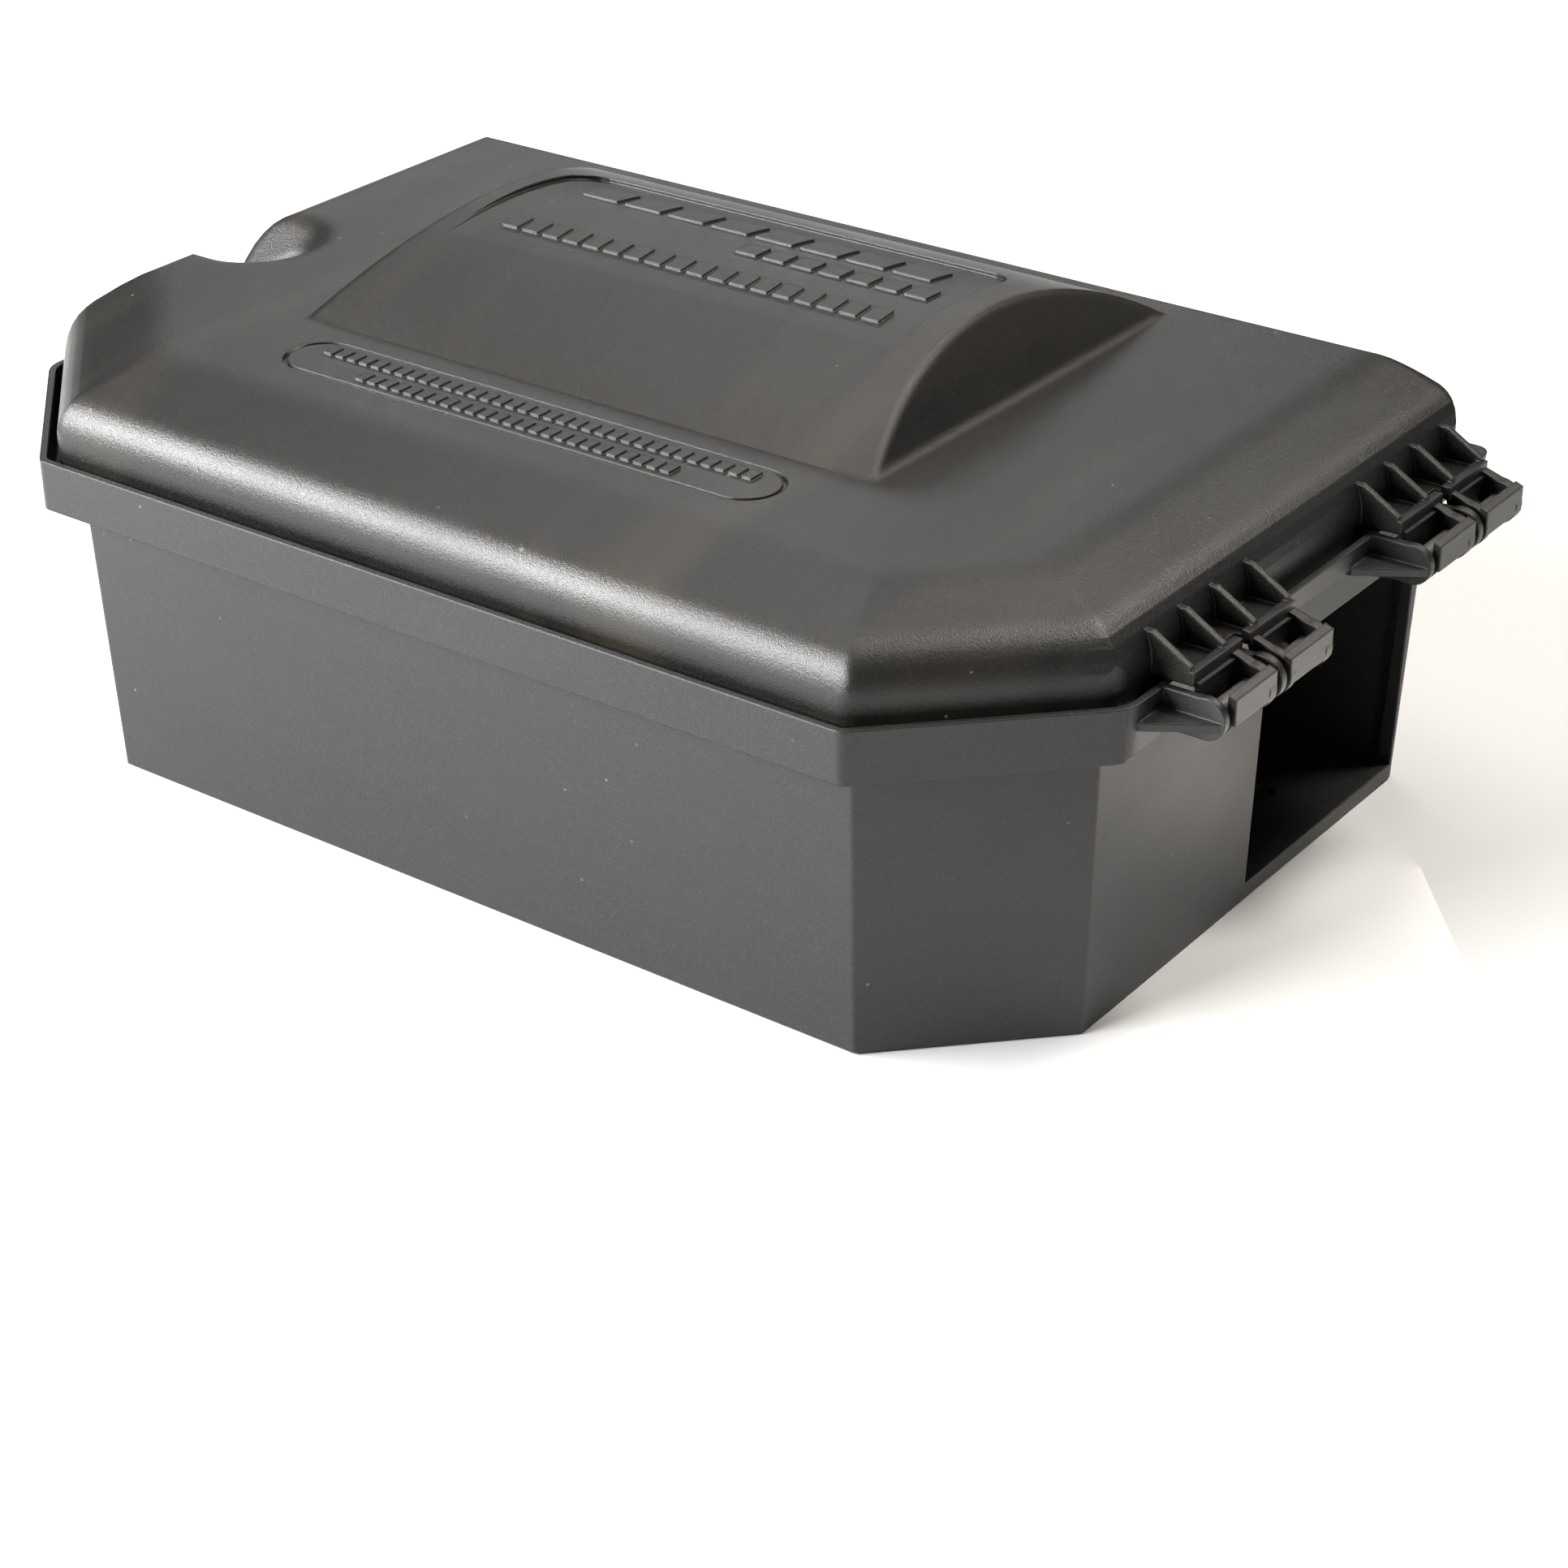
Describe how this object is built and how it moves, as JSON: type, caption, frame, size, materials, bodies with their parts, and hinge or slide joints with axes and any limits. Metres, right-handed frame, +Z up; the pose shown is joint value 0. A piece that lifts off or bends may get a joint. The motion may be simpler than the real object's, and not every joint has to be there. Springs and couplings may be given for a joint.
{
  "type": "bait station",
  "caption": "Lockable two-entry rodent bait station with a hinged domed lid, baffled runway, bait rods and a loose tray.",
  "frame": {"origin": "on the underside of the floor, in the middle of the rim's length and depth", "axes": "+X towards the hinge end, +Y towards the straight wall side with the entry openings, +Z up"},
  "size_m": [0.2515, 0.154, 0.0933],
  "materials": {
    "casing_plastic": "satin moulded black with fine grain",
    "lid_plastic": "satin moulded black with fine grain",
    "pin_plastic": "satin black rod",
    "lock_plastic": "satin black",
    "zinc": "zinc plated",
    "screw_steel": "zinc plated",
    "insert_plastic": "satin dark grey",
    "rod_steel": "drawn wire",
    "bait_wax": "dull wax"
  },
  "bodies": {
    "casing": {"base": "casing_plastic", "hinge_pin_front": "pin_plastic", "hinge_pin_rear": "pin_plastic"},
    "lid": {"lid": "lid_plastic"},
    "lock": {"lock_barrel": "lock_plastic", "lock_cam": "zinc", "lock_screw": "screw_steel"},
    "baffle": {"baffle": "insert_plastic"},
    "tray": {"bait_tray": "insert_plastic"},
    "rod_left": {"bait_rod_left": "rod_steel", "bait_block_left_front": "bait_wax", "bait_block_left_middle": "bait_wax", "bait_block_left_back": "bait_wax"},
    "rod_right": {"bait_rod_right": "rod_steel", "bait_block_right_front": "bait_wax", "bait_block_right_middle": "bait_wax", "bait_block_right_back": "bait_wax"}
  },
  "joints": [
    {"name": "lid_hinge", "type": "hinge", "parent": "casing", "child": "lid", "pos_m": [0.1275, 0, 0.061], "axis": [0, 1, 0], "range_deg": [0, 105]},
    {"name": "lock_turn", "type": "hinge", "parent": "lid", "child": "lock", "pos_m": [-0.1045, 0, 0.06], "axis": [0, 0, 1], "range_deg": [0, 90]},
    {"name": "baffle_lift", "type": "slide", "parent": "casing", "child": "baffle", "axis": [0, 0, 1], "range_m": [0, 0.015]},
    {"name": "tray_lift", "type": "slide", "parent": "casing", "child": "tray", "axis": [0, 0, 1], "range_m": [0, 0.035]},
    {"name": "rod_left_lift", "type": "slide", "parent": "casing", "child": "rod_left", "axis": [0, 0, 1], "range_m": [0, 0.022]},
    {"name": "rod_right_lift", "type": "slide", "parent": "casing", "child": "rod_right", "axis": [0, 0, 1], "range_m": [0, 0.022]}
  ]
}
